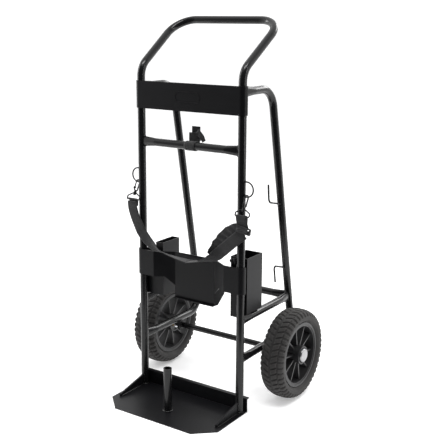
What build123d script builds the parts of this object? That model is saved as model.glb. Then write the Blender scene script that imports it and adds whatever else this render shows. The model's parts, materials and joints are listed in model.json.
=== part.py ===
from build123d import *
from math import cos, pi, sin, sqrt
import os

# A two-wheeled tool cart, in millimetres: X to the right, Y to the rear, Z up.
# The parts are laid out with the uprights at Y = 0 and moved by REAR_SHIFT when they are written,
# which puts the origin on the floor, under the middle of the whole cart.

# Tubes
TUBE_R = 12.7
TUBE_WALL = 2.0
FLAT_TALL = 35.0
FLAT_THIN = 11.6
FLARE = 58.0
WELD_GAP = 0.15

# Main loop: both uprights and the handle
UPRIGHT_X = 193.0
HANDLE_BEND_Z = 1086.0
HANDLE_BAR_X = 201.0
HANDLE_BAR_Y = 212.0
HANDLE_BAR_Z = 1232.0
HANDLE_BEND_R = 60.0
HANDLE_CORNER_R = 74.0
CROSSBAR_Z = 848.0

# Rear legs, each one tube from the upright's top, down past the axle and forward to its foot
LEG_TOP_Z = 1025.0
LEG_TOP_Y = 169.0
LEG_LEAN = 0.19
LEG_RUN_Z = 181.0
LEG_TOP_R = 74.0
LEG_LOW_R = 60.0
UPPER_BAR_Z = 310.0

# Wheels and axle
AXLE_Y = 212.7
WHEEL_R = 150.0
TYRE_WIDTH = 85.0
WHEEL_X = 262.5
BEAD_R = 108.0
RIM_INNER_R = 95.0
RIM_HALF = 33.0
HUB_R = 30.0
HUB_HALF = 41.0
SPOKES = 10
SPOKE_THICK = 5.0
SPOKE_HALF = 22.0
MOULD_GAP = 0.1
AXLE_R = 8.0
AXLE_END = 306.0
RUNNING_GAP = 0.05
AXLE_TUBE_END = 215.0
AXLE_TUBE_R = 10.0
CAP_R = 23.0
CAP_BASE = 302.0
CAP_END = 311.0
CAP_ROUND = 6.0

# Sheet parts
SHEET = 3.0
PLATE_LOW_Z = 956.0
PLATE_HIGH_Z = 1043.5
BAND_LOW_Z = 400.0
BAND_HIGH_Z = 486.0
TROUGH_HALF_FRONT = 139.0
TROUGH_HALF_BACK = 79.0
TROUGH_DEPTH = 39.0
APRON_LOW_Z = 329.0
APRON_CORNER = 29.0
LIP = 10.0

# Toe plate and post
TOE_HALF = 213.0
TOE_FRONT_Y = -210.0
TOE_CHAMFER_X = 63.0
TOE_CHAMFER_Y = 58.0
TOE_BACK_Y = 13.0
TOE_FLANGE_Z = 47.0
POST_Y = -125.0
POST_R = 13.5
POST_BORE_R = 11.0
POST_TOP_Z = 148.0

# Bins
BIN_WALL = 2.0
BIN_FRONT_Y = 13.2
BIN_BACK_Y = 103.0
BIN_LOW_Z = 329.0
BIN_HIGH_Z = 511.0

# Strap fittings: anchor loop, snap hook, swivel and webbing
LOOP_HALF = 22.5
LOOP_REACH = 29.5
LOOP_WIRE_R = 2.4
LOOP_Z = 733.0
LOOP_X = UPRIGHT_X + TUBE_R - 1
LOOP_R = (LOOP_HALF ** 2 + LOOP_REACH ** 2) / (2 * LOOP_REACH)
CLIP_X = 212.0
CLIP_LEAN = 27.0
HOOK_WIRE_R = 2.4
HOOK_HALF = 8.6
HOOK_LOW = -31.0
GATE_R = 1.9
GATE_PIVOT_Z = -21.0
WEB_WIDTH = 38.0
WEB_LOOP_HALF = 25.0
WEB_THICK = 2.4

# Buckle on the crossbar
BUCKLE_X = 6.0
LEVER_Y = 25.0
LEVER_Z = 873.0
LEVER_HEIGHT = 34.0

REAR_SHIFT = -(TOE_FRONT_Y + AXLE_Y + WHEEL_R) / 2
SIDES = {"left": -1, "right": 1}


def save(name, shape):
    """Write one named piece, moved into the cart's own frame."""
    moved = Pos(0, REAR_SHIFT, 0) * shape
    export_step(moved, os.path.join("parts", name + ".step"))


def vec(point):
    return point if isinstance(point, Vector) else Vector(*point)


def across(start, end, sideways):
    """The plane that cuts a bar at its start, with its local x along sideways."""
    return Plane(origin=start, z_dir=end - start, x_dir=sideways)


def rod(start, end, radius):
    """A solid round bar between two points."""
    start, end = vec(start), vec(end)
    plane = Plane(origin=start, z_dir=end - start)
    return extrude(plane * Circle(radius), (end - start).length)


def swept(points, radii, radius, bore=0.0):
    """A round bar or tube bent through the given points."""
    path = FilletPolyline(*points, radius=radii)
    section = Circle(radius) - Circle(bore) if bore else Circle(radius)
    return sweep(Plane(origin=path @ 0, z_dir=path % 0) * section, path=path)


def block(low, high):
    """A box between two corners."""
    size = [b - a for a, b in zip(low, high)]
    middle = [(a + b) / 2 for a, b in zip(low, high)]
    return Pos(*middle) * Box(*size)


def flattened(start, end, tall, shrink):
    """A bar that changes from a flattened section at start to a round one at end."""
    plane = across(start, end, tall)
    far = Plane(origin=end, z_dir=end - start, x_dir=tall)
    flat = Ellipse(FLAT_TALL / 2 - shrink, FLAT_THIN / 2 - shrink)
    return loft([plane * flat, far * Circle(TUBE_R - shrink)])


def flat_ended_bar(start, end, tall):
    """A tube whose two ends are pressed flat where they meet other tubes."""
    start, end, tall = vec(start), vec(end), vec(tall)
    step = (end - start).normalized() * FLARE

    def skin(shrink):
        middle = rod(start + step, end - step, TUBE_R - shrink)
        ends = [flattened(a, b, tall, shrink) for a, b in ((start, start + step), (end, end - step))]
        return middle + ends[0] + ends[1]

    return skin(0) - skin(TUBE_WALL)


def upright_space(side):
    """What the bars that meet an upright are cut back to."""
    return rod((side * UPRIGHT_X, 0, 0), (side * UPRIGHT_X, 0, HANDLE_BEND_Z), TUBE_R + WELD_GAP)


def leg_y(z):
    """Where the middle of a rear leg's straight part is at a height."""
    return LEG_TOP_Y + (LEG_TOP_Z - z) * LEG_LEAN


def leg_space(side):
    """What the bars that meet a rear leg are cut back to."""
    top = (side * UPRIGHT_X, leg_y(700), 700)
    return rod(top, (side * UPRIGHT_X, leg_y(100), 100), TUBE_R + WELD_GAP)


def main_loop():
    x, foot = UPRIGHT_X, SHEET
    points = [(-x, 0, foot), (-x, 0, HANDLE_BEND_Z), (-HANDLE_BAR_X, HANDLE_BAR_Y, HANDLE_BAR_Z)]
    points += [(-px, py, pz) for px, py, pz in reversed(points)]
    radii = [HANDLE_BEND_R, HANDLE_CORNER_R, HANDLE_CORNER_R, HANDLE_BEND_R]
    return swept(points, radii, TUBE_R, TUBE_R - TUBE_WALL)


def crossbar():
    bar = flat_ended_bar((-UPRIGHT_X, 0, CROSSBAR_Z), (UPRIGHT_X, 0, CROSSBAR_Z), (0, 0, 1))
    return bar - upright_space(-1) - upright_space(1)


def rear_leg(side):
    """A tube bent twice, from the back of an upright's top to its foot, pressed flat at both ends."""
    x, up = side * UPRIGHT_X, Vector(0, 0, 1)
    ends = []
    for z in (LEG_TOP_Z, LEG_RUN_Z):
        start, joint = Vector(x, 0, z), Vector(x, FLARE, z)
        ends.append(flattened(start, joint, up, 0) - flattened(start, joint, up, TUBE_WALL))
    points = [
        (x, FLARE, LEG_TOP_Z), (x, LEG_TOP_Y, LEG_TOP_Z),
        (x, leg_y(LEG_RUN_Z), LEG_RUN_Z), (x, FLARE, LEG_RUN_Z),
    ]
    tube = swept(points, [LEG_TOP_R, LEG_LOW_R], TUBE_R, TUBE_R - TUBE_WALL)
    return ends[0] + tube + ends[1] - upright_space(side)


def side_bar(side):
    """The short bar from an upright to its rear leg, under the bins."""
    z = UPPER_BAR_Z
    bar = flat_ended_bar((side * UPRIGHT_X, 0, z), (side * UPRIGHT_X, leg_y(z), z), (0, 0, 1))
    return bar - upright_space(side) - leg_space(side)


def rear_cross_bar():
    y, z = leg_y(UPPER_BAR_Z), UPPER_BAR_Z
    bar = flat_ended_bar((-UPRIGHT_X, y, z), (UPRIGHT_X, y, z), (0, 0, 1))
    return bar - leg_space(-1) - leg_space(1)


def wrapped_sheet(low_z, high_z, centre):
    """A sheet across the uprights' fronts, given its middle points, that wraps their outer sides."""
    wrap = TUBE_R + WELD_GAP + SHEET / 2
    ends = [Vector(s * (UPRIGHT_X + wrap), 4) for s in (-1, 1)]
    corners = [Vector(s * (UPRIGHT_X + wrap), 0) for s in (-1, 1)]
    middles = [Vector(s * (UPRIGHT_X + wrap * sin(pi / 4)), -wrap * cos(pi / 4)) for s in (-1, 1)]
    fronts = [Vector(s * UPRIGHT_X, -wrap) for s in (-1, 1)]
    line = Line(ends[0], corners[0]) + ThreePointArc(corners[0], middles[0], fronts[0])
    line += Polyline(fronts[0], *centre, fronts[1])
    line += ThreePointArc(fronts[1], middles[1], corners[1]) + Line(corners[1], ends[1])
    outline = offset(line, SHEET / 2, side=Side.BOTH)
    return Pos(0, 0, low_z) * extrude(make_face(outline), high_z - low_z)


def top_plate():
    """The sheet across the top of the frame, with a plain raised oval ring."""
    face_y = -(TUBE_R + WELD_GAP + SHEET)
    sheet = wrapped_sheet(PLATE_LOW_Z, PLATE_HIGH_Z, [])
    ring = SlotOverall(96, 34) - SlotOverall(90, 28)
    middle = Plane(origin=(0, face_y + 0.2, (PLATE_LOW_Z + PLATE_HIGH_Z) / 2), z_dir=(0, -1, 0),
                   x_dir=(1, 0, 0))
    return sheet + extrude(middle * ring, 1.2)


def cradle_plate():
    """The trough that holds the tool's body, with its hanging apron, lip and rear flanges."""
    front_y = -(TUBE_R + WELD_GAP + SHEET / 2)
    back_y = front_y + TROUGH_DEPTH
    centre = [
        (-TROUGH_HALF_FRONT, front_y), (-TROUGH_HALF_BACK, back_y),
        (TROUGH_HALF_BACK, back_y), (TROUGH_HALF_FRONT, front_y),
    ]
    sheet = wrapped_sheet(APRON_LOW_Z, BAND_HIGH_Z, centre)
    for side in (-1, 1):
        edge = side * TROUGH_HALF_BACK
        outline = Polyline(
            (edge + side * APRON_CORNER, BAND_LOW_Z), (side * 240, BAND_LOW_Z),
            (side * 240, APRON_LOW_Z - 10), (edge, APRON_LOW_Z - 10),
            (edge, BAND_LOW_Z - APRON_CORNER), close=True,
        )
        window = extrude(Plane.XZ * make_face(outline), 60, both=True)
        flange = Polyline(
            (back_y, APRON_LOW_Z), (back_y, APRON_LOW_Z + 43), (back_y + 31, APRON_LOW_Z + 54),
            (back_y + 43, APRON_LOW_Z + 50), (back_y + 58, APRON_LOW_Z + 29), (back_y + 19, APRON_LOW_Z - 2),
            close=True,
        )
        wall = extrude(Plane.YZ * make_face(flange), SHEET / 2, both=True)
        sheet = sheet - window + Pos(edge - side * SHEET / 2, 0, 0) * wall
    lip = block(
        (-TROUGH_HALF_BACK, back_y - SHEET / 2 - LIP, APRON_LOW_Z),
        (TROUGH_HALF_BACK, back_y, APRON_LOW_Z + SHEET),
    )
    return sheet + lip


def bin_box(low_x, high_x):
    """An open-topped sheet box."""
    low, high = (low_x, BIN_FRONT_Y, BIN_LOW_Z), (high_x, BIN_BACK_Y, BIN_HIGH_Z)
    inner_low = [v + BIN_WALL for v in low]
    inner_high = (high_x - BIN_WALL, BIN_BACK_Y - BIN_WALL, BIN_HIGH_Z + 5)
    return block(low, high) - block(inner_low, inner_high)


def right_bin():
    """The wider bin, with a front flange that hangs beside the side bar."""
    flange = block((147, BIN_FRONT_Y, BIN_LOW_Z - 16), (178, BIN_FRONT_Y + BIN_WALL, BIN_LOW_Z + 10))
    return bin_box(147, 208) + flange


def left_bin():
    """A narrow bin with a flange that reaches behind the left upright."""
    flange = block((-196, BIN_FRONT_Y, BIN_LOW_Z), (-149, BIN_FRONT_Y + BIN_WALL, 486))
    return bin_box(-150, -121) + flange


def toe_plate():
    """The floor pan with cut front corners, and the lipped flange behind the uprights."""
    pan = Polyline(
        (-TOE_HALF, TOE_BACK_Y + SHEET), (-TOE_HALF, TOE_FRONT_Y + TOE_CHAMFER_Y),
        (-TOE_HALF + TOE_CHAMFER_X, TOE_FRONT_Y), (TOE_HALF - TOE_CHAMFER_X, TOE_FRONT_Y),
        (TOE_HALF, TOE_FRONT_Y + TOE_CHAMFER_Y), (TOE_HALF, TOE_BACK_Y + SHEET), close=True,
    )
    floor = extrude(make_face(pan), SHEET)
    flange = block((-TOE_HALF, TOE_BACK_Y, 0), (TOE_HALF, TOE_BACK_Y + SHEET, TOE_FLANGE_Z))
    lip_z = TOE_FLANGE_Z - SHEET
    lip = block((-TOE_HALF, TOE_BACK_Y, lip_z), (TOE_HALF, TOE_BACK_Y + 14, TOE_FLANGE_Z))
    return floor + flange + lip


def toe_gusset(side):
    """The low tapered rib in front of an upright."""
    back = -(TUBE_R + WELD_GAP)
    outline = Polyline((back, SHEET), (-134, SHEET), (-134, 11), (back, 38), close=True)
    return Pos(side * UPRIGHT_X, 0, 0) * extrude(Plane.YZ * make_face(outline), 3, both=True)


def post():
    tube = rod((0, POST_Y, SHEET), (0, POST_Y, POST_TOP_Z), POST_R)
    return tube - rod((0, POST_Y, 0), (0, POST_Y, POST_TOP_Z + 5), POST_BORE_R)


def axle_saddle(side):
    """The plate that hangs the axle tube under a rear leg's lower run."""
    outline = Polyline(
        (AXLE_Y - 34, LEG_RUN_Z), (AXLE_Y - 15, WHEEL_R - 16), (AXLE_Y + 15, WHEEL_R - 16),
        (AXLE_Y + 34, LEG_RUN_Z), close=True,
    )
    plate = extrude(Plane.YZ * make_face(outline), 3, both=True)
    hole = rod((-5, AXLE_Y, WHEEL_R), (5, AXLE_Y, WHEEL_R), AXLE_TUBE_R + WELD_GAP)
    bar = rod((0, 0, LEG_RUN_Z), (0, 300, LEG_RUN_Z), TUBE_R + WELD_GAP)
    return Pos(side * UPRIGHT_X, 0, 0) * (plate - hole - bar)


def on_axle(shape):
    """Turn a shape made about Z to lie along X on the axle line."""
    return Pos(0, AXLE_Y, WHEEL_R) * Rot(0, 90, 0) * shape


def sleeve(low_x, high_x, outer, inner):
    ring = Pos(0, 0, low_x) * extrude(Circle(outer) - Circle(inner), high_x - low_x)
    return on_axle(ring)


def tyre(side):
    """A solid of revolution: flat bead seat, bulging sidewalls and a crowned tread."""
    half = TYRE_WIDTH / 2
    seat = (28.0, BEAD_R)
    shoulder = (half - 7, WHEEL_R - 9)
    profile = Line((-seat[0], seat[1]), seat)
    for s in (-1, 1):
        bulge = (s * half, BEAD_R + 20)
        profile += ThreePointArc((s * seat[0], seat[1]), bulge, (s * shoulder[0], shoulder[1]))
    profile += ThreePointArc((-shoulder[0], shoulder[1]), (0, WHEEL_R), shoulder)
    solid = revolve(make_face(profile), Axis.X, 360)
    return Pos(side * WHEEL_X, AXLE_Y, WHEEL_R) * solid


def rim_ring(side):
    """The rim's outer ring, stepped down at both edges."""
    ring = extrude(Circle(BEAD_R - MOULD_GAP) - Circle(RIM_INNER_R), RIM_HALF - 2, both=True)
    edge = Circle(BEAD_R - MOULD_GAP) - Circle(RIM_INNER_R + 5)
    ring += extrude(edge, RIM_HALF, both=True)
    return Pos(side * WHEEL_X, 0, 0) * on_axle(ring)


def hub(side):
    """The hub barrel, with a raised rim round each end."""
    barrel = extrude(Circle(HUB_R) - Circle(AXLE_R + 5), HUB_HALF, both=True)
    for s in (-1, 1):
        barrel -= Pos(0, 0, s * HUB_HALF) * extrude(Circle(HUB_R - 4), 4, both=True)
    return Pos(side * WHEEL_X, 0, 0) * on_axle(barrel)


def spokes(side):
    """The flat spokes between the hub and the ring."""
    low = (HUB_R + 2 * MOULD_GAP, -SPOKE_THICK / 2, -SPOKE_HALF)
    high = (RIM_INNER_R - 2 * MOULD_GAP, SPOKE_THICK / 2, SPOKE_HALF)
    bar = block(low, high)
    bars = []
    for spoke in range(SPOKES):
        turned = Rot(0, 0, (spoke + 0.25) * 360 / SPOKES) * bar
        bars.append((Pos(side * WHEEL_X, 0, 0) * on_axle(turned)).solid())
    return Compound(bars)


def bushes(side):
    """The two plain bearings in a hub."""
    low, high = side * WHEEL_X - HUB_HALF + 4, side * WHEEL_X + HUB_HALF - 4
    pair = [(low, low + 24), (high - 24, high)]
    rings = [sleeve(a, b, AXLE_R + 4.9, AXLE_R + RUNNING_GAP) for a, b in pair]
    return Compound([r.solid() for r in rings])


def washers():
    """One washer each side of each hub."""
    inner, outer = AXLE_TUBE_END + 0.2, WHEEL_X + HUB_HALF - 3.8
    rings = []
    for side in (-1, 1):
        for near, far in ((inner, inner + 2.5), (outer, outer + 2.0)):
            low, high = sorted((side * near, side * far))
            rings.append(sleeve(low, high, 15, AXLE_R + 0.1).solid())
    return Compound(rings)


def axle_cap(side):
    """A domed push-on cap over the end of the axle."""
    cap = extrude(Circle(CAP_R), CAP_END - CAP_BASE)
    cap = fillet(cap.edges().group_by(Axis.Z)[-1], CAP_ROUND)
    cap -= extrude(Circle(AXLE_R + 0.1), AXLE_END - CAP_BASE + 0.1)
    return Pos(side * CAP_BASE, AXLE_Y, WHEEL_R) * Rot(0, side * 90, 0) * cap


def cord_hook(points, radii):
    """A bent wire hook welded to the front of the right rear leg."""
    wire = swept([(UPRIGHT_X, y, z) for y, z in points], radii, 3.0)
    return wire - leg_space(1)


def anchor_loop(side):
    """A half ring of wire welded to the outer side of an upright."""
    x = side * LOOP_X
    ends = [(x, 0, LOOP_Z + s * LOOP_HALF) for s in (1, -1)]
    arc = ThreePointArc(ends[0], (x + side * LOOP_REACH, 0, LOOP_Z), ends[1])
    wire = sweep(Plane(origin=arc @ 0, z_dir=arc % 0) * Circle(LOOP_WIRE_R), path=arc)
    return wire - upright_space(side)


def hung(side, shape):
    """Place a clip piece, made hanging straight down from its wire, on its anchor loop."""
    drop = sqrt(LOOP_R ** 2 - (CLIP_X - LOOP_X - LOOP_REACH + LOOP_R) ** 2)
    return Pos(side * CLIP_X, 0, LOOP_Z - drop) * Rot(-CLIP_LEAN, 0, 0) * shape


def hook_body():
    """A snap hook's bow and stem, open on its front side where the gate closes it."""
    top = LOOP_WIRE_R + 0.8 + HOOK_WIRE_R
    points = [
        (0, -HOOK_HALF, GATE_PIVOT_Z - 2.5), (0, -HOOK_HALF, HOOK_LOW), (0, HOOK_HALF, HOOK_LOW),
        (0, HOOK_HALF, top), (0, -HOOK_HALF, top), (0, -HOOK_HALF, -5.5),
    ]
    bow = swept(points, [6.0, 6.0, 8.4, 8.4], HOOK_WIRE_R)
    stem = rod((0, 0, HOOK_LOW), (0, 0, -44.3), 2.5) + rod((0, 0, -44.3), (0, 0, -47), 4)
    body = bow + stem
    for s in (-1, 1):
        eye = rod((s * 2.6, -HOOK_HALF, GATE_PIVOT_Z), (s * 3.4, -HOOK_HALF, GATE_PIVOT_Z), 2.2)
        body += eye + gate_cheek(s)
    return body


def gate_cheek(s):
    """The side plate that carries one end of the gate's pin, on side s of the hook."""
    low, high = sorted((s * 2.2, s * 3.4))
    front, back = -HOOK_HALF - 2.2, -HOOK_HALF + 2.2
    return block((low, front, GATE_PIVOT_Z - 4.5), (high, back, GATE_PIVOT_Z))


def hook_gate():
    """The sprung gate with its pivot barrel."""
    bar = rod((0, -HOOK_HALF, GATE_PIVOT_Z + 0.5), (0, -HOOK_HALF, -6.0), GATE_R)
    barrel = rod((-2.1, -HOOK_HALF, GATE_PIVOT_Z), (2.1, -HOOK_HALF, GATE_PIVOT_Z), 2.1)
    return bar + barrel


def swivel_loop():
    """The swivel barrel and the wide wire loop that the webbing goes round."""
    bar_z, half, wire = -62.0, WEB_LOOP_HALF, 2.2
    points = [(4.5, 0, -39), (half, 0, -50), (half, 0, bar_z), (-half, 0, bar_z),
              (-half, 0, -50), (-4.5, 0, -39)]
    loop = swept(points, [5, 5, 5, 5], wire)
    barrel = rod((0, 0, -44.1), (0, 0, -34.6), 5.2)
    stem_space = rod((0, 0, -46), (0, 0, -30), 2.5 + RUNNING_GAP)
    head_space = rod((0, 0, -48), (0, 0, -44.1), 4.6)
    return loop + barrel - stem_space - head_space


def ribbon(stations, thick=WEB_THICK):
    """Webbing through stations of centre, width direction and width."""
    faces = []
    middles = [vec(s[0]) for s in stations]
    for i, (centre, wide, width) in enumerate(stations):
        ahead = middles[min(i + 1, len(middles) - 1)] - middles[max(i - 1, 0)]
        plane = Plane(origin=vec(centre), z_dir=ahead, x_dir=vec(wide))
        faces.append(plane * Rectangle(width, thick))
    return loft(faces, ruled=True)


def at_adjuster(shape):
    """Place a shape made flat about Z where the strap's slide hangs, with its right side low."""
    return Pos(220, -31, 614) * Rot(90, 0, 0) * Rot(0, 0, -10) * shape


def adjuster():
    """A three-bar slide that the webbing threads through."""
    body = extrude(RectangleRounded(52, 22, 4), 2.4, both=True)
    for y in (-4.8, 4.8):
        body -= Pos(0, y, 0) * extrude(RectangleRounded(41, 4.6, 1.5), 6, both=True)
    return body


# Webbing: centre, width direction and width, from each clip down to the middle of the trough
LEFT_STRAP = [
    ((-211, -32.4, 654), (1, 0, 0), WEB_WIDTH), ((-210, -31.0, 628), (1, 0, 0), WEB_WIDTH),
    ((-205, -28.5, 606), (1, 0, 0.3), WEB_WIDTH), ((-195, -27.5, 580), (1, 0, 0.5), WEB_WIDTH),
    ((-174, -27.0, 545), (1, 0.1, 0.75), WEB_WIDTH), ((-138, -25.0, 511), (0.7, -0.3, 1.1), WEB_WIDTH),
    ((-100, -20.0, 491), (0.3, -1, 0.5), WEB_WIDTH), ((-54, -13.0, 480), (0.1, -1, 0.2), WEB_WIDTH),
    ((0, -9.0, 473), (0, -1, 0), WEB_WIDTH),
]
RIGHT_STRAP = [
    ((218, -31.0, 603), (1, 0, -0.2), WEB_WIDTH), ((200, -30.0, 588), (1, 0, -0.8), WEB_WIDTH),
    ((172, -28.0, 564), (1, 0, -1.0), WEB_WIDTH), ((138, -24.0, 535), (1, 0.2, -1.1), WEB_WIDTH),
    ((98, -18.0, 503), (0.7, 1, -0.8), WEB_WIDTH), ((52, -12.0, 483), (0.1, 1, -0.2), WEB_WIDTH),
    ((0, -9.0, 473), (0, 1, 0), WEB_WIDTH),
]
CLIP_WEBBING = [
    ((211, -32.4, 656), (1, 0, 0), WEB_WIDTH), ((219, -31.2, 615), (1, 0, -0.1), WEB_WIDTH),
]
STRAP_TAIL = [
    ((200, -17.0, 622), (0.5, 0, -1), 26), ((170, -15.0, 607), (0.5, 0, -1), 30),
    ((141, -12.0, 584), (0.8, 0, -0.7), 34), ((109, -8.0, 546), (0.9, 0.1, -0.6), 35),
    ((86, -3.0, 509), (0.8, 0.5, -0.3), 33),
]
TAIL_END = [
    ((157, -3.0, 497), (0.2, 0.3, -1), 12), ((166, -4.0, 501), (0.2, 0.2, -1), 20),
    ((178, -3.0, 502), (0.1, 0.2, -1), 20),
]


def crossbar_strap():
    """Webbing round the crossbar, rising behind it to the buckle."""
    half = 20.0
    bar = (BUCKLE_X - half, 0, CROSSBAR_Z), (BUCKLE_X + half, 0, CROSSBAR_Z)
    ring = rod(*bar, TUBE_R + 0.2 + WEB_THICK)
    rise = block((BUCKLE_X - half, TUBE_R + 0.2, CROSSBAR_Z),
                 (BUCKLE_X + half, TUBE_R + 0.2 + WEB_THICK, LEVER_Z + 14))
    return ring + rise - rod((-100, 0, CROSSBAR_Z), (100, 0, CROSSBAR_Z), TUBE_R + 0.2)


def crossbar_strap_tail():
    """The free end of the buckle's webbing, standing off to one side above the crossbar."""
    y, top = TUBE_R + 1.4, LEVER_Z + 17.0
    return ribbon([
        ((BUCKLE_X + 6, y, top), (1, 0, 0), 20), ((BUCKLE_X + 20, y - 4, top - 1), (0.6, 0, 1), 18),
        ((BUCKLE_X + 34, y - 6, top - 12), (1, 0, 0.6), 16),
        ((BUCKLE_X + 42, y - 6, top - 26), (1, 0, 0), 14),
    ], 1.6)


def buckle_frame():
    """A stamped plate with two ears that hold the lever's pin."""
    front = TUBE_R + WEB_THICK + 0.5
    plate = block((BUCKLE_X - 20, front, 858), (BUCKLE_X + 20, front + 1.6, 888))
    ears = []
    for low in (BUCKLE_X - 20, BUCKLE_X + 18.4):
        ears.append(block((low, front, 863), (low + 1.6, LEVER_Y + 6, 883)))
    hole = rod((BUCKLE_X - 25, LEVER_Y, LEVER_Z), (BUCKLE_X + 25, LEVER_Y, LEVER_Z), 2.1)
    return plate + ears[0] + ears[1] - hole


def buckle_pin():
    return rod((BUCKLE_X - 21, LEVER_Y, LEVER_Z), (BUCKLE_X + 21, LEVER_Y, LEVER_Z), 2.0)


def buckle_lever():
    """The cam barrel and the flat flap that stands up from it."""
    half = 17.6
    barrel = rod((BUCKLE_X - half, LEVER_Y, LEVER_Z), (BUCKLE_X + half, LEVER_Y, LEVER_Z), 5.0)
    flap = block((BUCKLE_X - half + 2, LEVER_Y - 1.1, LEVER_Z), (BUCKLE_X + half - 2, LEVER_Y + 1.1,
                 LEVER_Z + LEVER_HEIGHT))
    pin = rod((BUCKLE_X - 25, LEVER_Y, LEVER_Z), (BUCKLE_X + 25, LEVER_Y, LEVER_Z), 2.0 + RUNNING_GAP)
    return barrel + flap - pin


def main():
    os.makedirs("parts", exist_ok=True)
    save("main_loop", main_loop())
    save("crossbar", crossbar())
    save("top_plate", top_plate())
    save("cradle_plate", cradle_plate())
    save("right_bin", right_bin())
    save("left_bin", left_bin())
    save("toe_plate", toe_plate())
    save("post", post())
    save("rear_cross_bar", rear_cross_bar())
    save("axle_tube", sleeve(-AXLE_TUBE_END, AXLE_TUBE_END, AXLE_TUBE_R, AXLE_R + 0.2))
    save("axle", rod((-AXLE_END, AXLE_Y, WHEEL_R), (AXLE_END, AXLE_Y, WHEEL_R), AXLE_R))
    save("axle_washers", washers())
    save("upper_cord_hook", cord_hook([(237, 643), (163, 661), (158, 720)], 20.0))
    save("lower_cord_hook", cord_hook([(280, 416), (203, 440), (213, 382)], 8.0))
    for name, side in SIDES.items():
        save(name + "_rear_leg", rear_leg(side))
        save(name + "_side_bar", side_bar(side))
        save(name + "_toe_gusset", toe_gusset(side))
        save(name + "_axle_saddle", axle_saddle(side))
        save(name + "_tyre", tyre(side))
        save(name + "_rim_ring", rim_ring(side))
        save(name + "_spokes", spokes(side))
        save(name + "_hub", hub(side))
        save(name + "_bushes", bushes(side))
        save(name + "_axle_cap", axle_cap(side))
        save(name + "_anchor_loop", anchor_loop(side))
        save(name + "_hook", hung(side, hook_body()))
        save(name + "_hook_gate", hung(side, hook_gate()))
        save(name + "_swivel_loop", hung(side, swivel_loop()))
    save("left_strap", ribbon(LEFT_STRAP) - block((0, -60, 440), (40, 60, 500)))
    slide_space = at_adjuster(Box(60, 22.4, 30))
    save("right_strap", ribbon(RIGHT_STRAP) - block((-40, -60, 440), (0, 60, 500)) - slide_space)
    save("right_clip_webbing", ribbon(CLIP_WEBBING) - slide_space)
    save("strap_adjuster", at_adjuster(adjuster()))
    save("strap_tail", ribbon(STRAP_TAIL))
    save("strap_tail_end", ribbon(TAIL_END))
    save("crossbar_strap", crossbar_strap())
    save("crossbar_strap_tail", crossbar_strap_tail())
    save("buckle_frame", buckle_frame())
    save("buckle_pin", buckle_pin())
    save("buckle_lever", buckle_lever())


main()
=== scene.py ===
import json
import math
import random

import bmesh
import bpy
import numpy as np
from mathutils import Matrix, Vector


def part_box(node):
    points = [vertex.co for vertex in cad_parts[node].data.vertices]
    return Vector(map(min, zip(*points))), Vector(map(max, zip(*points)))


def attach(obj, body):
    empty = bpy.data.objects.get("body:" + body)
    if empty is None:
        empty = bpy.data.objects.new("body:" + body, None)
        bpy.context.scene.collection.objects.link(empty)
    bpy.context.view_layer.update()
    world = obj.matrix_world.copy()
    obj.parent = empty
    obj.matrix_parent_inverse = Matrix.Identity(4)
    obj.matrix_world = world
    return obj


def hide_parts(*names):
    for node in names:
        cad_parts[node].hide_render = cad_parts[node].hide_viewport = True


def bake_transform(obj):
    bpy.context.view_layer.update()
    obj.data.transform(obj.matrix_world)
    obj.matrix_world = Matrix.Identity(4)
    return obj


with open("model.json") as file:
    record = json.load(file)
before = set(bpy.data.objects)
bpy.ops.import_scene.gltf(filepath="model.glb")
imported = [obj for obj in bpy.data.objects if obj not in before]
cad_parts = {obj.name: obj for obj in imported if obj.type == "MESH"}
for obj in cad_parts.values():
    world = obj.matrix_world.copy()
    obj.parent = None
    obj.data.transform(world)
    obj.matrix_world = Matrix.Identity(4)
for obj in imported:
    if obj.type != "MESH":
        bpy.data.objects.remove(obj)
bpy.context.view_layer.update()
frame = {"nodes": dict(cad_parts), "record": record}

# Everything is in metres, in the cart's own frame: X to the right, Y to the rear, Z up.
NODES = frame["nodes"]
SIDES = {"left": -1, "right": 1}
MM = 0.001


def centre_of(node):
    low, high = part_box(node)
    return (low + high) / 2


# Driving sizes, read from the frame
POST_LOW, POST_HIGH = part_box("post")
TUBE_R = (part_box("right_rear_leg")[1].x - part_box("right_rear_leg")[0].x) / 2
AXLE_TUBE_R = (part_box("axle_tube")[1].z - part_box("axle_tube")[0].z) / 2
UPRIGHT_X = centre_of("right_rear_leg").x
UPRIGHT_Y = centre_of("crossbar").y
CROSSBAR_Z = centre_of("crossbar").z
AXLE = centre_of("axle")
SHEET = 0.003
FLAT_TALL = 0.0350 / 2
FLAT_THIN = 0.0116 / 2


# ---------------------------------------------------------------- camera

def make_camera():
    """The camera, level with the handle, to the cart's right front, with the small shift that frames it."""
    right = Vector((0.81604, 0.57800, 0.0))
    up = Vector((-0.12392, 0.17495, 0.97676))
    back = right.cross(up)
    data = bpy.data.cameras.new("camera")
    data.sensor_width = 36.0
    data.lens = 69.88
    data.shift_x = 0.0511
    data.shift_y = -0.0473
    camera = bpy.data.objects.new("camera", data)
    rotation = Matrix((right, up, back)).transposed().to_4x4()
    camera.matrix_world = Matrix.Translation((1.5632, -2.23565, 1.2575)) @ rotation
    bpy.context.scene.collection.objects.link(camera)
    bpy.context.scene.camera = camera


make_camera()


# ---------------------------------------------------------------- node helpers

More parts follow.
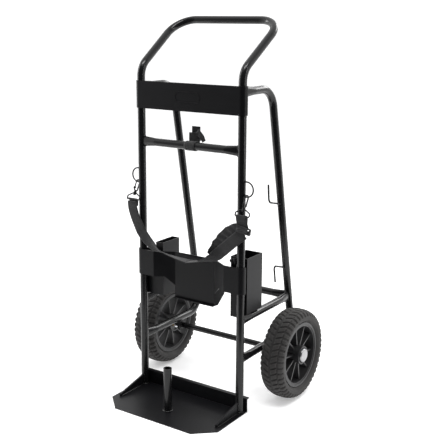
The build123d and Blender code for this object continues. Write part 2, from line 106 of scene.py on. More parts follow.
class Shader:
    """A small wrapper that builds one material's nodes."""

    def __init__(self, name):
        self.material = bpy.data.materials.new(name)
        self.material.use_nodes = True
        self.tree = self.material.node_tree
        self.bsdf = self.tree.nodes["Principled BSDF"]
        self.coords = self.tree.nodes.new("ShaderNodeTexCoord").outputs["Object"]

    def add(self, kind, **inputs):
        node = self.tree.nodes.new(kind)
        for key, value in inputs.items():
            key = key.replace("_", " ")
            if hasattr(value, "links"):
                self.tree.links.new(value, node.inputs[key])
            else:
                node.inputs[key].default_value = value
        return node

    def noise(self, scale, detail=3.0, rough=0.55, vector=None):
        node = self.add("ShaderNodeTexNoise", Scale=scale, Detail=detail, Roughness=rough)
        self.tree.links.new(vector or self.coords, node.inputs["Vector"])
        return node.outputs["Fac"]

    def ramp(self, value, stops):
        node = self.tree.nodes.new("ShaderNodeValToRGB")
        elements = node.color_ramp.elements
        while len(elements) < len(stops):
            elements.new(0.5)
        for element, (place, colour) in zip(elements, stops):
            element.position = place
            element.color = (*colour, 1.0) if hasattr(colour, "__len__") else (colour, colour, colour, 1.0)
        self.tree.links.new(value, node.inputs["Fac"])
        return node.outputs["Color"]

    def span(self, value, low, high, to_low, to_high):
        node = self.tree.nodes.new("ShaderNodeMapRange")
        for key, number in zip(("From Min", "From Max", "To Min", "To Max"), (low, high, to_low, to_high)):
            node.inputs[key].default_value = number
        self.tree.links.new(value, node.inputs["Value"])
        return node.outputs["Result"]

    def maths(self, kind, a, b=0.0):
        node = self.tree.nodes.new("ShaderNodeMath")
        node.operation = kind
        for socket, value in zip(node.inputs, (a, b)):
            if hasattr(value, "links"):
                self.tree.links.new(value, socket)
            else:
                socket.default_value = value
        return node.outputs[0]

    def mix(self, fac, a, b):
        node = self.tree.nodes.new("ShaderNodeMix")
        node.data_type = "RGBA"
        for socket, value in zip((node.inputs[0], node.inputs[6], node.inputs[7]), (fac, a, b)):
            if hasattr(value, "links"):
                self.tree.links.new(value, socket)
            elif hasattr(value, "__len__"):
                socket.default_value = (*value, 1.0)
            else:
                socket.default_value = value
        return node.outputs[2]

    def bump(self, height, strength, distance, normal=None):
        node = self.add("ShaderNodeBump", Strength=strength, Distance=distance)
        self.tree.links.new(height, node.inputs["Height"])
        if normal is not None:
            self.tree.links.new(normal, node.inputs["Normal"])
        return node.outputs["Normal"]

    def set(self, **inputs):
        for key, value in inputs.items():
            key = key.replace("_", " ")
            if hasattr(value, "links"):
                self.tree.links.new(value, self.bsdf.inputs[key])
            else:
                self.bsdf.inputs[key].default_value = value
        return self


def worn_edges(s, amount):
    """A mask that is 1 close to sharp edges, broken up by noise, times amount."""
    geometry = s.tree.nodes.new("ShaderNodeNewGeometry")
    rounded = s.add("ShaderNodeBevel", Radius=0.0012)
    rounded.samples = 4
    match = s.tree.nodes.new("ShaderNodeVectorMath")
    match.operation = "DOT_PRODUCT"
    s.tree.links.new(rounded.outputs["Normal"], match.inputs[0])
    s.tree.links.new(geometry.outputs["Normal"], match.inputs[1])
    edge = s.span(match.outputs["Value"], 0.98, 0.80, 0.0, 1.0)
    broken = s.span(s.noise(90.0, 4.0), 0.42, 0.62, 0.0, 1.0)
    return s.maths("MULTIPLY", s.maths("MULTIPLY", edge, broken), amount)


def powder_coat(name, base, rough_low, rough_high, peel, coat, specular):
    """Black powder coat: fine orange peel, soft cloudiness in the gloss, and paler worn edges."""
    s = Shader(name)
    cloud = s.noise(9.0, 4.0)
    colour = s.ramp(cloud, [(0.3, [c * 0.92 for c in base]), (0.7, [c * 1.1 for c in base])])
    dusty = s.mix(s.span(s.noise(38.0, 5.0), 0.58, 0.8, 0.0, 0.05), colour, [c * 2.2 for c in base])
    worn = s.mix(worn_edges(s, 0.35), dusty, (0.09, 0.088, 0.086))
    fine = s.noise(1400.0, 2.0)
    broad = s.noise(330.0, 2.0)
    normal = s.bump(fine, peel, 0.0002)
    normal = s.bump(broad, peel * 0.25, 0.0004, normal)
    s.set(Base_Color=worn, Roughness=s.span(cloud, 0.3, 0.7, rough_low, rough_high), Normal=normal)
    s.set(Specular_IOR_Level=specular, Coat_Weight=coat, Coat_Roughness=0.14)
    return s.material


def tyre_rubber():
    """Matte rubber with a dusty brown-grey bloom in random patches, pale specks, and a painted highlight on
    the tread edges.
    """
    s = Shader("tyre_rubber")
    bloom = s.noise(26.0, 5.0)
    colour = s.ramp(bloom, [(0.3, (0.015, 0.0142, 0.0138)), (0.72, (0.029, 0.0272, 0.0262))])
    specks = s.span(s.noise(420.0, 3.0), 0.62, 0.72, 0.0, 0.35)
    colour = s.mix(specks, colour, (0.085, 0.079, 0.074))
    geometry = s.tree.nodes.new("ShaderNodeNewGeometry")
    # Painted highlight: the convex edges of the tread blocks, found by pointiness, are made paler as if light
    # caught them.
    edge = s.span(geometry.outputs["Pointiness"], 0.5, 0.58, 0.0, 0.55)
    colour = s.mix(edge, colour, (0.072, 0.067, 0.064))
    normal = s.bump(s.noise(900.0, 3.0), 0.25, 0.0005)
    s.set(Base_Color=colour, Roughness=s.span(bloom, 0.3, 0.7, 0.62, 0.85), Normal=normal)
    return s.material


def moulded_plastic(name, base, rough):
    """Moulded plastic with a fine grain and faint flow marks."""
    s = Shader(name)
    flow = s.noise(14.0, 3.0)
    colour = s.ramp(flow, [(0.3, [c * 0.8 for c in base]), (0.7, [c * 1.3 for c in base])])
    colour = s.mix(worn_edges(s, 0.5), colour, (0.10, 0.098, 0.095))
    normal = s.bump(s.noise(1100.0, 2.0), 0.18, 0.0003)
    s.set(Base_Color=colour, Roughness=s.span(flow, 0.3, 0.7, rough - 0.06, rough + 0.08), Normal=normal)
    return s.material


def bare_metal(name, base, rough, brush):
    """Plated or polished metal with fine drawn lines and a few dull spots."""
    s = Shader(name)
    stretch = s.add("ShaderNodeMapping", Scale=(brush, 1.0, 1.0))
    s.tree.links.new(s.coords, stretch.inputs["Vector"])
    lines = s.noise(320.0, 4.0, vector=stretch.outputs["Vector"])
    spots = s.noise(45.0, 4.0)
    colour = s.ramp(spots, [(0.3, [c * 0.75 for c in base]), (0.65, base)])
    s.set(Base_Color=colour, Metallic=1.0, Normal=s.bump(lines, 0.12, 0.0003))
    s.set(Roughness=s.span(spots, 0.3, 0.7, rough, rough + 0.15))
    return s.material


def dark_wire():
    """Blackened steel wire with bright rubbed places."""
    s = Shader("dark_wire")
    patch = s.span(s.noise(60.0, 4.0), 0.52, 0.72, 0.0, 0.7)
    colour = s.mix(patch, (0.018, 0.018, 0.019), (0.16, 0.16, 0.165))
    s.set(Base_Color=colour, Metallic=0.75, Roughness=s.span(patch, 0.0, 0.7, 0.42, 0.26))
    s.set(Normal=s.bump(s.noise(800.0, 2.0), 0.15, 0.0003))
    return s.material


def webbing():
    """Black polyester webbing: a herringbone weave read from the strap's own width and length."""
    s = Shader("webbing")
    uv = s.tree.nodes.new("ShaderNodeUVMap")
    uv.uv_map = "weave"
    split = s.tree.nodes.new("ShaderNodeSeparateXYZ")
    s.tree.links.new(uv.outputs["UV"], split.inputs["Vector"])
    across, along = split.outputs["X"], split.outputs["Y"]
    column = s.maths("PINGPONG", across, 0.0024)
    slope = s.maths("ADD", along, s.maths("MULTIPLY", column, 1.0))
    ridge = s.maths("SINE", s.maths("MULTIPLY", slope, 2 * math.pi / 0.0016))
    warp = s.maths("SINE", s.maths("MULTIPLY", across, 2 * math.pi / 0.0012))
    weave = s.maths("ADD", s.maths("MULTIPLY", ridge, 0.35), s.maths("MULTIPLY", warp, 0.15))
    height = s.maths("ADD", weave, 0.5)
    fuzz = s.noise(700.0, 4.0)
    colour = s.ramp(height, [(0.1, (0.005, 0.005, 0.0055)), (0.9, (0.017, 0.017, 0.0185))])
    faded = s.mix(s.span(s.noise(30.0, 3.0), 0.45, 0.8, 0.0, 0.5), colour, (0.022, 0.0215, 0.022))
    colour = s.mix(s.span(fuzz, 0.6, 0.8, 0.0, 0.4), faded, (0.038, 0.038, 0.040))
    normal = s.bump(height, 0.6, 0.0004)
    s.set(Base_Color=colour, Roughness=0.82, Normal=s.bump(fuzz, 0.2, 0.0003, normal))
    s.set(Sheen_Weight=0.25, Sheen_Roughness=0.5, Specular_IOR_Level=0.3)
    return s.material


def bronze():
    return bare_metal("bush_bronze", (0.42, 0.29, 0.14), 0.35, 2.0)


MATERIALS = {
    "powder_coat_tube": powder_coat("powder_coat_tube", (0.0062, 0.0063, 0.0068),
                                    0.20, 0.27, 0.07, 0.22, 0.25),
    "powder_coat_sheet": powder_coat("powder_coat_sheet", (0.0062, 0.0062, 0.0072),
                                     0.34, 0.38, 0.10, 0.0, 0.16),
    "tyre_rubber": tyre_rubber(),
    "rim_plastic": moulded_plastic("rim_plastic", (0.017, 0.017, 0.018), 0.42),
    "zinc_steel": bare_metal("zinc_steel", (0.55, 0.55, 0.57), 0.30, 4.0),
    "cap_metal": bare_metal("cap_metal", (0.40, 0.40, 0.41), 0.24, 1.0),
    "black_wire": dark_wire(),
    "webbing": webbing(),
    "black_plastic": moulded_plastic("black_plastic", (0.014, 0.014, 0.015), 0.38),
    "bush_bronze": bronze(),
}


# ---------------------------------------------------------------- mesh helpers

def make_piece(name, verts, faces, slot_name, body, replaced=(), smooth=True, uvs=None):
    """A mesh object that rides on a body, with one material."""
    mesh = bpy.data.meshes.new(name)
    mesh.from_pydata([tuple(v) for v in verts], [], faces)
    bm = bmesh.new()
    bm.from_mesh(mesh)
    if uvs is None:
        bmesh.ops.recalc_face_normals(bm, faces=bm.faces)
    bm.to_mesh(mesh)
    bm.free()
    for polygon in mesh.polygons:
        polygon.use_smooth = smooth
    if uvs is not None:
        layer = mesh.uv_layers.new(name="weave")
        for loop in mesh.loops:
            layer.data[loop.index].uv = uvs[loop.vertex_index]
    mesh.materials.append(MATERIALS[slot_name])
    obj = bpy.data.objects.new(name, mesh)
    bpy.context.scene.collection.objects.link(obj)
    if body:
        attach(obj, body)
    if replaced:
        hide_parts(*replaced)
    return obj


def curve_points(stations, steps):
    """Catmull-Rom through rows of numbers, steps between each two."""
    rows = np.array(stations, float)
    padded = np.vstack([2 * rows[0] - rows[1], rows, 2 * rows[-1] - rows[-2]])
    out = []
    for i in range(1, len(padded) - 2):
        a, b, c, d = padded[i - 1:i + 3]
        for k in range(steps):
            t = k / steps
            out.append(0.5 * (2 * b + (c - a) * t + (2 * a - 5 * b + 4 * c - d) * t * t
                              + (3 * b - a - 3 * c + d) * t ** 3))
    out.append(rows[-1])
    return np.array(out)


def tube_mesh(path, radii, sides=12, closed=False):
    """Vertices and faces of a round bar along a path; radii is one number or one for each point."""
    path = [Vector(p) for p in path]
    count = len(path)
    radii = [radii] * count if isinstance(radii, (int, float)) else list(radii)
    verts, faces = [], []
    normal = None
    for i, point in enumerate(path):
        before = path[(i - 1) % count] if closed or i else point
        after = path[(i + 1) % count] if closed or i < count - 1 else point
        along = (after - before).normalized()
        if normal is None:
            normal = along.orthogonal().normalized()
        normal = (normal - along * normal.dot(along)).normalized()
        side = along.cross(normal)
        for k in range(sides):
            angle = 2 * math.pi * k / sides
            verts.append(point + (normal * math.cos(angle) + side * math.sin(angle)) * radii[i])
    rings = count if closed else count - 1
    for i in range(rings):
        a, b = i * sides, (i + 1) % count * sides
        for k in range(sides):
            n = (k + 1) % sides
            faces.append((a + k, a + n, b + n, b + k))
    if not closed:
        faces.append(tuple(reversed(range(sides))))
        faces.append(tuple(range((count - 1) * sides, count * sides)))
    return verts, faces


def merge(parts):
    """Joins several (verts, faces) into one."""
    verts, faces = [], []
    for part_verts, part_faces in parts:
        base = len(verts)
        verts += list(part_verts)
        faces += [tuple(i + base for i in f) for f in part_faces]
    return verts, faces


def bevelled(node, width, segments=2, angle=35):
    """Soft edges on a CAD node, which catch the light as folded or moulded edges do."""
    modifier = NODES[node].modifiers.new("soft_edges", "BEVEL")
    modifier.width = width
    modifier.segments = segments
    modifier.limit_method = "ANGLE"
    modifier.angle_limit = math.radians(angle)
    modifier.harden_normals = True


# ---------------------------------------------------------------- CAD nodes keep their shape

def dress_nodes():
    """Every CAD node takes the material of its slot."""
    for part in frame["record"]["subparts"]:
        mesh = NODES[part["node"]].data
        mesh.materials.clear()
        mesh.materials.append(MATERIALS[part["material_slot"]])


dress_nodes()


# ---------------------------------------------------------------- weld beads

WELD_R = 0.0021
LOOP_WIRE_R = 0.0024
HOOK_WIRE_R = 0.003


def bead(path, closed, seed, radius=WELD_R):
    """A weld bead: overlapping ripples along a path, a little uneven."""
    rng = random.Random(seed)
    points = [Vector(p) for p in path]
    lengths = [0.0]
    for a, b in zip(points, points[1:]):
        lengths.append(lengths[-1] + (b - a).length)
    phase = rng.uniform(0, 6)
    radii = []
    for i, s in enumerate(lengths):
        ripple = abs(math.sin(phase + s * math.pi / 0.0034))
        fade = 1.0 if closed else min(1.0, 0.35 + 0.4 * min(i, len(points) - 1 - i))
        radii.append(radius * (0.82 + 0.24 * ripple + rng.uniform(-0.05, 0.05)) * fade)
    return tube_mesh(points, radii, 10, closed)


def joint_weld(centre, along, tall, half_tall, half_thin, host_axis, seed, host_r=None):
    """The bead where a bar of oval section, running along a direction, meets a round host tube."""
    host_r = host_r or TUBE_R
    centre, along, tall = Vector(centre), Vector(along).normalized(), Vector(tall).normalized()
    side = along.cross(tall).normalized()
    tall = side.cross(along).normalized()
    host_axis = Vector(host_axis).normalized()
    flat = along - host_axis * along.dot(host_axis)
    path = []
    count = 72
    for i in range(count):
        angle = 2 * math.pi * i / count
        offset = tall * (half_tall * math.cos(angle)) + side * (half_thin * math.sin(angle))
        across = offset - host_axis * offset.dot(host_axis)
        b, c = across.dot(flat), across.length_squared - (host_r + WELD_R * 0.35) ** 2
        root = max(b * b - flat.length_squared * c, 0.0)
        reach = (-b + math.sqrt(root)) / flat.length_squared
        path.append(centre + offset + along * reach)
    return bead(path, True, seed)


LEG_TOP_BACK = 0.169
LEG_TOP_Z = 1.025
LEG_LEAN = 0.19
LEG_TOP = Vector((0.0, UPRIGHT_Y + LEG_TOP_BACK, LEG_TOP_Z))
LEG_UP = Vector((0.0, -LEG_LEAN, 1.0)).normalized()
LEG_RUN_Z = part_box("right_rear_leg")[0].z + FLAT_TALL


def leg_at(side, z):
    t = (z - LEG_TOP.z) / LEG_UP.z
    return Vector((side * UPRIGHT_X, LEG_TOP.y + LEG_UP.y * t, z))


def wire_weld(centre, axis, radius, seed):
    """The small bead round a wire where it meets a tube."""
    axis = Vector(axis).normalized()
    first = axis.orthogonal().normalized()
    second = axis.cross(first)
    ring = [Vector(centre) + (first * math.cos(a) + second * math.sin(a)) * (radius + 0.0005)
            for a in np.linspace(0, 2 * math.pi, 28, endpoint=False)]
    return bead(ring, True, seed, 0.0014)


def wire_welds():
    """Beads where the anchor loops and the cord hooks are welded on."""
    parts = []
    for side_name, side in SIDES.items():
        low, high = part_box(side_name + "_anchor_loop")
        x = side * (UPRIGHT_X + TUBE_R + 0.0004)
        for z in (low.z + LOOP_WIRE_R, high.z - LOOP_WIRE_R):
            parts.append(wire_weld((x, UPRIGHT_Y, z), (side, 0, 0), LOOP_WIRE_R, 120 + side))
    for start, end, z in (((163, 661), (237, 643), 0.6458), ((203, 440), (280, 416), 0.4190)):
        along = Vector((0, end[0] - start[0], end[1] - start[1])).normalized()
        y = leg_at(1, z).y - TUBE_R - 0.0003
        parts.append(wire_weld((UPRIGHT_X, y, z), along, HOOK_WIRE_R, 130))
    verts, faces = merge(parts)
    make_piece("wire_welds", verts, faces, "powder_coat_tube", "frame")


def frame_welds():
    """All the beads on the welded frame, as one piece."""
    parts = []
    up = Vector((0, 0, 1))
    seed = 1
    bar_z = centre_of("right_side_bar").z
    for side in (-1, 1):
        host = Vector((side * UPRIGHT_X, UPRIGHT_Y, 0))
        spots = [
            (host + up * CROSSBAR_Z, (-side, 0, 0), up), (host + up * LEG_TOP.z, (0, 1, 0), up),
            (host + up * bar_z, (0, 1, 0), up), (host + up * LEG_RUN_Z, (0, 1, 0), up),
            (leg_at(side, bar_z), (0, -1, 0), LEG_UP), (leg_at(side, bar_z), (-side, 0, 0), LEG_UP),
        ]
        for centre, along, axis in spots:
            parts.append(joint_weld(centre, along, up, FLAT_TALL, FLAT_THIN, axis, seed))
            seed += 1
        foot = [host + Vector((math.cos(a), math.sin(a), 0)) * (TUBE_R + 0.0006) + up * (SHEET + 0.0008)
                for a in np.linspace(0, 2 * math.pi, 64, endpoint=False)]
        parts.append(bead(foot, True, seed, 0.0027))
        for rib in (-1, 1):
            x = side * UPRIGHT_X + rib * 0.0036
            y = UPRIGHT_Y - TUBE_R
            line = [(x, y - 0.004 - t, SHEET + 0.0008) for t in np.linspace(0, 0.112, 70)]
            parts.append(bead(line, False, seed + 1))
            line = [(x, y + 0.0008, SHEET + 0.003 + t) for t in np.linspace(0, 0.030, 24)]
            parts.append(bead(line, False, seed + 2))
        axle_ring = [Vector((side * (UPRIGHT_X + 0.0034), AXLE.y + math.cos(a) * (AXLE_TUBE_R + 0.0006),
                             AXLE.z + math.sin(a) * (AXLE_TUBE_R + 0.0006)))
                     for a in np.linspace(0, 2 * math.pi, 60, endpoint=False)]
        parts.append(bead(axle_ring, True, seed + 3))
        axle_ring = [Vector((p.x - side * 0.0068, p.y, p.z)) for p in axle_ring]
        parts.append(bead(axle_ring, True, seed + 4))
        seed += 5
    post_x, post_y = (POST_LOW.x + POST_HIGH.x) / 2, (POST_LOW.y + POST_HIGH.y) / 2
    post_r = (POST_HIGH.x - POST_LOW.x) / 2
    ring = [(post_x + math.cos(a) * (post_r + 0.0008), post_y + math.sin(a) * (post_r + 0.0008),
             SHEET + 0.0008)
            for a in np.linspace(0, 2 * math.pi, 72, endpoint=False)]
    parts.append(bead(ring, True, 90, 0.0029))
    verts, faces = merge(parts)
    make_piece("frame_welds", verts, faces, "powder_coat_tube", "frame")


frame_welds()
wire_welds()


# ---------------------------------------------------------------- wheels

LUGS = 46
TYRE_HALF = (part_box("right_tyre")[1].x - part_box("right_tyre")[0].x) / 2
TYRE_R = (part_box("right_tyre")[1].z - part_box("right_tyre")[0].z) / 2
BEAD_R = 0.108


def smooth_step(low, high, value):
    t = np.clip((value - low) / (high - low), 0, 1)
    return t * t * (3 - 2 * t)


def tread_height(turn, across):
    """How far the tread stands up, 0 to 1, at a place round the tyre and across it (-1 to 1)."""
    pitch = turn * LUGS / (2 * math.pi)
    wide = np.abs(across)
    side = np.where(across > 0, 0.5, 0.0)

    def lug(phase, share, edge):
        t = np.abs((phase % 1.0) - 0.5) * 2
        return 1 - smooth_step(share - edge, share + edge, t)

    shoulder = lug(pitch + side, 0.60, 0.09) * smooth_step(0.60, 0.64, wide)
    middle = lug(pitch + side + 0.5 + wide * 1.1, 0.70, 0.08)
    middle = middle * smooth_step(0.07, 0.11, wide) * (1 - smooth_step(0.52, 0.56, wide))
    return np.maximum(shoulder, middle)


def tyre_profile():
    """Points (x, radius, share across the tread or None) from one bead over the crown to the other."""
    half = TYRE_HALF
    rows = [(0.0275, BEAD_R - 0.001), (0.0310, BEAD_R + 0.0015), (0.0345, BEAD_R + 0.004),
            (0.0385, BEAD_R + 0.009), (half - 0.0012, BEAD_R + 0.017), (half - 0.0010, BEAD_R + 0.023),
            (half - 0.0030, TYRE_R - 0.0130), (half - 0.0085, TYRE_R - 0.0075)]
    return rows


def make_tyre(name, side):
    """A moulded tyre: bead ring, ribbed sidewalls, and staggered tread blocks cut from the crown."""
    wheel_x = centre_of(name).x
    around = LUGS * 14
    rows = []
    outer = curve_points([(x, r) for x, r in tyre_profile()], 4)
    for x, r in outer:
        rows.append((x, r))
    crown_x, crown_r = outer[-1]
    steps = 46
    for k in range(1, steps):
        a = 1 - 2 * k / steps
        x = crown_x * a
        rows.append((x, crown_r + (TYRE_R - 0.0005 - crown_r) * (1 - abs(a) ** 2.4)))
    for x, r in reversed(outer):
        rows.append((-x, r))
    rows = np.array(rows)
    step = np.gradient(rows, axis=0)
    normal = np.stack([step[:, 1], -step[:, 0]], axis=1)
    normal /= np.linalg.norm(normal, axis=1)[:, None]
    arc = np.concatenate([[0], np.cumsum(np.linalg.norm(np.diff(rows, axis=0), axis=1))])
    arc = arc - arc[-1] / 2
    tread_half = arc[-1] * 0.60
    turn = np.linspace(0, 2 * math.pi, around, endpoint=False)
    depth = 0.0040
    grid = np.zeros((around, len(rows), 3))
    for i, angle in enumerate(turn):
        share = arc / tread_half
        height = tread_height(angle, share)
        fade = 1 - smooth_step(1.0, 1.10, np.abs(share))
        drop = (1 - height) * depth * fade
        rib = 0.0007 * (smooth_step(1.22, 1.24, np.abs(share)) - smooth_step(1.30, 1.32, np.abs(share)))
        shift = normal * (rib - drop)[:, None]
        x, r = rows[:, 0] + shift[:, 0], rows[:, 1] + shift[:, 1]
        grid[i] = np.stack([wheel_x + x, AXLE.y + r * math.cos(angle), AXLE.z + r * math.sin(angle)], axis=1)
    count = len(rows)
    verts = grid.reshape(-1, 3)
    faces = []
    for i in range(around):
        a, b = i * count, (i + 1) % around * count
        for k in range(count - 1):
            faces.append((a + k, a + k + 1, b + k + 1, b + k))
        faces.append((a + count - 1, a, b, b + count - 1))
    make_piece(name + "_tread", verts, faces, "tyre_rubber", side + "_wheel", [name])


for side_name in SIDES:
    make_tyre(side_name + "_tyre", side_name)


# ---------------------------------------------------------------- webbing

def ribbon(stations, thick, steps=10, columns=10, waves=0.0, seed=0):
    """Webbing through rows of centre, width direction and width, with rolled selvedges."""
    rows = [(*centre, *Vector(wide).normalized(), width) for centre, wide, width in stations]
    rows = curve_points(rows, steps)
    centres = rows[:, :3]
    tangents = np.gradient(centres, axis=0)
    lengths = np.concatenate([[0], np.cumsum(np.linalg.norm(np.diff(centres, axis=0), axis=1))])
    verts, uvs, faces = [], [], []
    ring = []
    for k in range(columns + 1):
        t = -1 + 2 * k / columns
        ring.append((t, 0.5 - 0.18 * abs(t) ** 8))
    section = [(t, h) for t, h in ring] + [(t, -h) for t, h in reversed(ring)]
    count = len(section)
    for i, row in enumerate(rows):
        along = Vector(tangents[i]).normalized()
        wide = Vector(row[3:6])
        wide = (wide - along * wide.dot(along)).normalized()
        normal = along.cross(wide).normalized()
        grown = min(1.0, lengths[i] / 0.06)
        half_width = row[6] / 2 * (1 + 45 * waves * grown * math.sin(lengths[i] * 190 + seed))
        for t, h in section:
            ripple = waves * grown * math.sin(lengths[i] * 260 + seed + t * 1.6)
            verts.append(Vector(row[:3]) + wide * (t * half_width) + normal * (h * thick + ripple))
            uvs.append((t * half_width, lengths[i]))
    for i in range(len(rows) - 1):
        a, b = i * count, (i + 1) * count
        for k in range(count):
            n = (k + 1) % count
            faces.append((a + k, b + k, b + n, a + n))
    faces.append(tuple(range(count)))
    faces.append(tuple(reversed(range((len(rows) - 1) * count, len(rows) * count))))
    return verts, faces, uvs


CLIP_X = 212
STRAP_THICK = 2.4
FOLD_THICK = 2.2
BUCKLE_WRAP_R = 14.2
BUCKLE_TOP_Z = 890.0


def place(x, y, z):
    """A point given in millimetres, with Y measured from the uprights."""
    return Vector((x * MM, UPRIGHT_Y + y * MM, z * MM))


def strap(name, rows, thick, nodes, body=None, blend_with=None, seed=0, waves=0.00015):
    """A strap from rows of (x, y, z), width direction and width, all in millimetres."""
    stations = [(place(*centre), wide, width * MM) for centre, wide, width in rows]
    verts, faces, uvs = ribbon(stations, thick * MM, columns=14, waves=waves, seed=seed)
    obj = make_piece(name, verts, faces, "webbing", body, nodes, True, uvs)
    if blend_with:
        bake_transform(obj)
    return obj


def straps():
    """The tie strap in its two halves, its folds round the clips, its tail and the buckle's strap."""
    flat = (1, 0, 0)
    strap("left_strap_web", [
        ((-212, -32.2, 650), flat, 38), ((-211, -31.6, 630), flat, 38), ((-206, -29.0, 606), (1, 0, 0.3), 38),
        ((-195, -27.8, 580), (1, 0, 0.5), 38), ((-174, -27.2, 545), (1, 0.1, 0.75), 38),
        ((-138, -25.2, 511), (0.7, -0.3, 1.1), 38), ((-100, -20.0, 491), (0.3, -1, 0.5), 38),
        ((-54, -13.0, 480), (0.1, -1, 0.2), 38), ((0, -9.0, 473), (0, -1, 0), 38),
    ], STRAP_THICK, ["left_strap"], None, ("left_clip", 0.50), 1)
    strap("right_strap_web", [
        ((219, -28.2, 603), (1, 0, -0.2), 38), ((200, -28.8, 588), (1, 0, -0.8), 38),
        ((172, -28.0, 564), (1, 0, -1.0), 38), ((138, -24.0, 535), (1, 0.2, -1.1), 38),
        ((98, -18.0, 503), (0.7, 1, -0.8), 38), ((52, -12.0, 483), (0.1, 1, -0.2), 38),
        ((0, -9.0, 473), (0, 1, 0), 38),
    ], STRAP_THICK, ["right_strap"], None, ("right_clip", 0.50), 2)
    for side in SIDES.values():
        x = side * CLIP_X
        fold = [((x, -24.6, 634), flat, 37), ((x, -24.4, 651), flat, 38), ((x, -26.0, 657.4), flat, 38),
                ((x, -29.2, 658.0), flat, 38), ((x, -31.8, 654), flat, 38)]
        if side > 0:
            fold += [((214, -32.0, 640), flat, 38), ((216, -30.0, 628), flat, 38),
                     ((217.5, -31.5, 621), (1, 0, -0.15), 38), ((219, -35.0, 614.5), (1, 0, -0.18), 38),
                     ((220, -31.5, 608), (1, 0, -0.18), 38), ((220.5, -27.6, 602), (1, 0, -0.2), 38)]
            strap("right_clip_fold", fold, FOLD_THICK, ["right_clip_webbing"], "right_clip", seed=3)
        else:
            strap("left_clip_fold", fold, FOLD_THICK, [], "left_clip", seed=4)
    strap("strap_tail_web", [
        ((194, -15.0, 620), (0.5, 0, -1), 22), ((170, -15, 607), (0.5, 0, -1), 30),
        ((141, -12, 584), (0.8, 0, -0.7), 34), ((109, -8, 546), (0.9, 0.1, -0.6), 35),
        ((86, -3, 509), (0.8, 0.5, -0.3), 33),
    ], FOLD_THICK, ["strap_tail"], "frame", seed=5, waves=0.0016)
    strap("strap_tail_tip", [
        ((157, -3, 497), (0.2, 0.3, -1), 12), ((162, -6, 500), (0.2, 0.25, -1), 17),
        ((168, -2, 501), (0.2, 0.2, -1), 20), ((173, -6, 503), (0.1, 0.2, -1), 20),
        ((178, -3, 502), (0.1, 0.2, -1), 20),
    ], FOLD_THICK, ["strap_tail_end"], "frame", seed=6, waves=0.0006)
    buckle_x = centre_of("buckle_pin").x / MM
    around = []
    for angle in np.linspace(math.pi / 2, -3 * math.pi / 2 + 0.25, 30):
        y, z = BUCKLE_WRAP_R * math.sin(angle), CROSSBAR_Z / MM + BUCKLE_WRAP_R * -math.cos(angle)
        around.append(((buckle_x, y, z), flat, 39))
    rise = [((buckle_x, BUCKLE_WRAP_R, z), flat, 39) for z in (886, 872, 860)]
    strap("crossbar_strap_web", rise + around, FOLD_THICK, ["crossbar_strap"], "frame", seed=7, waves=0.0)
    top = BUCKLE_TOP_Z
    strap("crossbar_strap_tip", [
        ((buckle_x + 6, 14.1, top), flat, 20), ((buckle_x + 20, 10.1, top - 1), (0.6, 0, 1), 18),
        ((buckle_x + 34, 8.1, top - 12), (1, 0, 0.6), 16), ((buckle_x + 42, 8.1, top - 26), flat, 14),
    ], 1.6, ["crossbar_strap_tail"], "frame", seed=8, waves=0.0002)


straps()

for side_name in SIDES:
    for part, width in (("_rim_ring", 0.0009), ("_spokes", 0.0008), ("_hub", 0.0009), ("_toe_gusset", 0.0007),
                        ("_bin", 0.0005), ("_axle_saddle", 0.0007)):
        bevelled(side_name + part, width)
for node, width in (("top_plate", 0.0006), ("cradle_plate", 0.0006), ("toe_plate", 0.0007),
                    ("buckle_frame", 0.0004),
                    ("strap_adjuster", 0.0005), ("buckle_lever", 0.0005), ("post", 0.0007)):
    bevelled(node, width)


# ---------------------------------------------------------------- studio

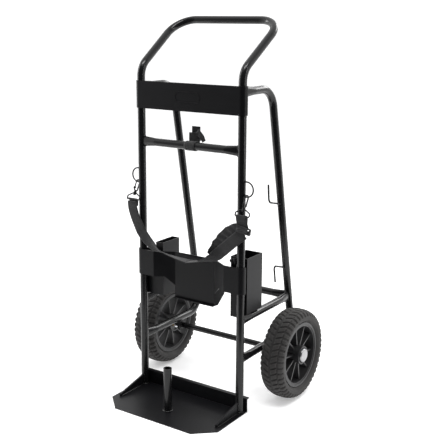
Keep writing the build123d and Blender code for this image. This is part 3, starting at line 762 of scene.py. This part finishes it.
def studio():
    """A pale floor, a surround that is white behind and dark in front, and four soft lights."""
    scene = bpy.context.scene
    scene.view_settings.view_transform = "Standard"
    world = bpy.data.worlds.new("studio")
    scene.world = world
    world.use_nodes = True
    tree = world.node_tree
    background = tree.nodes["Background"]
    coords = tree.nodes.new("ShaderNodeTexCoord")
    facing = tree.nodes.new("ShaderNodeVectorMath")
    facing.operation = "DOT_PRODUCT"
    facing.inputs[1].default_value = (0.56, -0.80, 0.10)
    tree.links.new(coords.outputs["Generated"], facing.inputs[0])
    ramp = tree.nodes.new("ShaderNodeValToRGB")
    ramp.color_ramp.elements[0].position = 0.05
    ramp.color_ramp.elements[0].color = (1.0, 1.0, 1.0, 1)
    ramp.color_ramp.elements[1].position = 0.45
    ramp.color_ramp.elements[1].color = (0.07, 0.07, 0.075, 1)
    tree.links.new(facing.outputs["Value"], ramp.inputs["Fac"])
    tree.links.new(ramp.outputs["Color"], background.inputs["Color"])
    background.inputs["Strength"].default_value = 1.25

    floor_mesh = bpy.data.meshes.new("floor")
    ahead, beside = Vector((0.573, -0.819, 0.0)), Vector((0.819, 0.573, 0.0))
    corners = [ahead * near + beside * wide for near, wide in ((0.75, -9), (0.75, 9), (-60, 60), (-60, -60))]
    floor_mesh.from_pydata([tuple(c) for c in corners], [], [(0, 1, 2, 3)])
    floor = bpy.data.objects.new("floor", floor_mesh)
    scene.collection.objects.link(floor)
    s = Shader("floor_paper")
    tone = s.noise(0.8, 2.0)
    s.set(Base_Color=s.ramp(tone, [(0.3, (0.93, 0.93, 0.93)), (0.7, (0.96, 0.96, 0.96))]))
    s.set(Roughness=0.9, Specular_IOR_Level=0.0, Emission_Color=(1.0, 1.0, 1.0, 1.0), Emission_Strength=0.30)
    floor_mesh.materials.append(s.material)

    middle = Vector((0, 0, 0.6))
    for name, place, size, power in (
        ("key_light", (0.6, -1.0, 3.6), (2.4, 0.7), 60), ("left_light", (-3.0, -0.6, 1.6), (0.5, 2.6), 34),
        ("rear_light", (0.8, 3.0, 2.4), (2.4, 0.8), 45), ("right_light", (3.2, 0.4, 1.4), (0.35, 2.6), 26),
    ):
        data = bpy.data.lights.new(name, "AREA")
        data.shape = "RECTANGLE"
        data.size, data.size_y = size
        data.energy = power
        light = bpy.data.objects.new(name, data)
        light.location = place
        light.rotation_euler = (middle - Vector(place)).to_track_quat("-Z", "Y").to_euler()
        scene.collection.objects.link(light)


studio()
